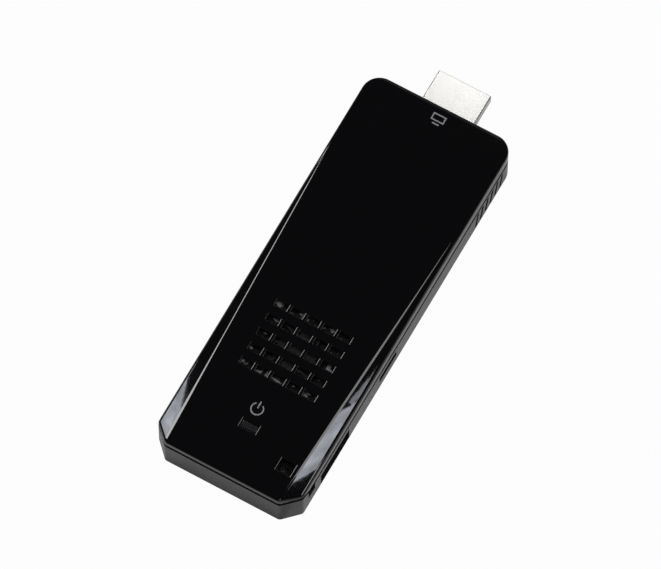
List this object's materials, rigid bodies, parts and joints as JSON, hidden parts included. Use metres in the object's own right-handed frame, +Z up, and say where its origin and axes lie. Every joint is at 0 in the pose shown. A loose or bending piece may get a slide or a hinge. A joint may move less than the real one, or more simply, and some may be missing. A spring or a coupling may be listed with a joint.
{
  "type": "stick computer",
  "caption": "Slim stick computer with a display plug at one end, side ports, a vented glossy lid over a blower-cooled board, a satin tray and a side power button.",
  "frame": {"origin": "middle of the underside, halfway along the overall length with the plug", "axes": "+X across towards the USB side, +Y along the stick towards the plug, +Z up out of the lid"},
  "size_m": [0.038, 0.1146, 0.0122],
  "materials": {
    "cover_gloss": "high-gloss black moulding",
    "case_satin": "satin black moulding with a fine texture",
    "button_satin": "satin black moulding",
    "lens_smoke": "smoke-grey translucent moulding",
    "plug_plating": "nickel-plated stamped steel",
    "port_steel": "tin-plated stamped steel",
    "contact_gold": "gold-flashed contact strip",
    "port_plastic": "black glass-filled connector plastic",
    "board_resist": "green solder resist over fibreglass",
    "chip_epoxy": "black moulding epoxy",
    "chip_ceramic": "pale ceramic",
    "cap_ceramic": "tan ceramic with tinned ends",
    "coil_ferrite": "moulded ferrite",
    "can_tin": "tinned screening can",
    "pad_silicone": "soft silicone pad",
    "sink_aluminium": "extruded aluminium",
    "screw_steel": "zinc-plated steel",
    "fan_plastic": "black glass-filled plastic",
    "fan_plate": "thin aluminium plate",
    "bushing_bronze": "sintered bronze",
    "stator_copper": "enamelled copper winding",
    "magnet_ferrite": "bonded ferrite",
    "connector_nylon": "ivory nylon",
    "lead_film": "amber film lead",
    "switch_plastic": "black switch body",
    "plunger_plastic": "pale switch plunger"
  },
  "bodies": {
    "chassis": {"bottom_case": "case_satin", "main_board": "board_resist", "board_screws": "screw_steel", "hdmi_shell": "plug_plating", "hdmi_insulator": "port_plastic", "hdmi_contacts": "contact_gold", "usb_a_shell": "port_steel", "usb_a_tongue": "port_plastic", "usb_a_contacts": "contact_gold", "micro_usb_shell": "port_steel", "micro_usb_tongue": "port_plastic", "micro_usb_contacts": "contact_gold", "microsd_socket": "port_steel", "microsd_contacts": "contact_gold", "power_switch": "switch_plastic", "led_chip": "chip_ceramic", "processor": "chip_epoxy", "thermal_pad": "pad_silicone", "heat_sink": "sink_aluminium", "heat_sink_screws": "screw_steel", "memory_chips": "chip_epoxy", "storage_chip": "chip_epoxy", "power_chip": "chip_epoxy", "wifi_module": "can_tin", "wifi_antenna": "chip_ceramic", "inductors": "coil_ferrite", "capacitors": "cap_ceramic", "fan_frame": "fan_plastic", "fan_bushing": "bushing_bronze", "fan_stator": "stator_copper", "fan_cover": "fan_plate", "fan_connector": "connector_nylon", "fan_lead": "lead_film", "led_lens": "lens_smoke", "top_cover": "cover_gloss"},
    "button": {"power_button": "button_satin", "switch_plunger": "plunger_plastic"},
    "fan_wheel": {"fan_rotor": "fan_plastic", "fan_magnet": "magnet_ferrite", "fan_shaft": "screw_steel"}
  },
  "joints": [
    {"name": "button_press", "type": "slide", "parent": "chassis", "child": "button", "axis": [1, 0, 0], "range_m": [0, 0.0003], "stiffness_N_per_m": 1000},
    {"name": "fan_spin", "type": "hinge", "parent": "chassis", "child": "fan_wheel", "pos_m": [0, -0.023, 0.008], "axis": [0, 0, 1], "continuous": true}
  ]
}
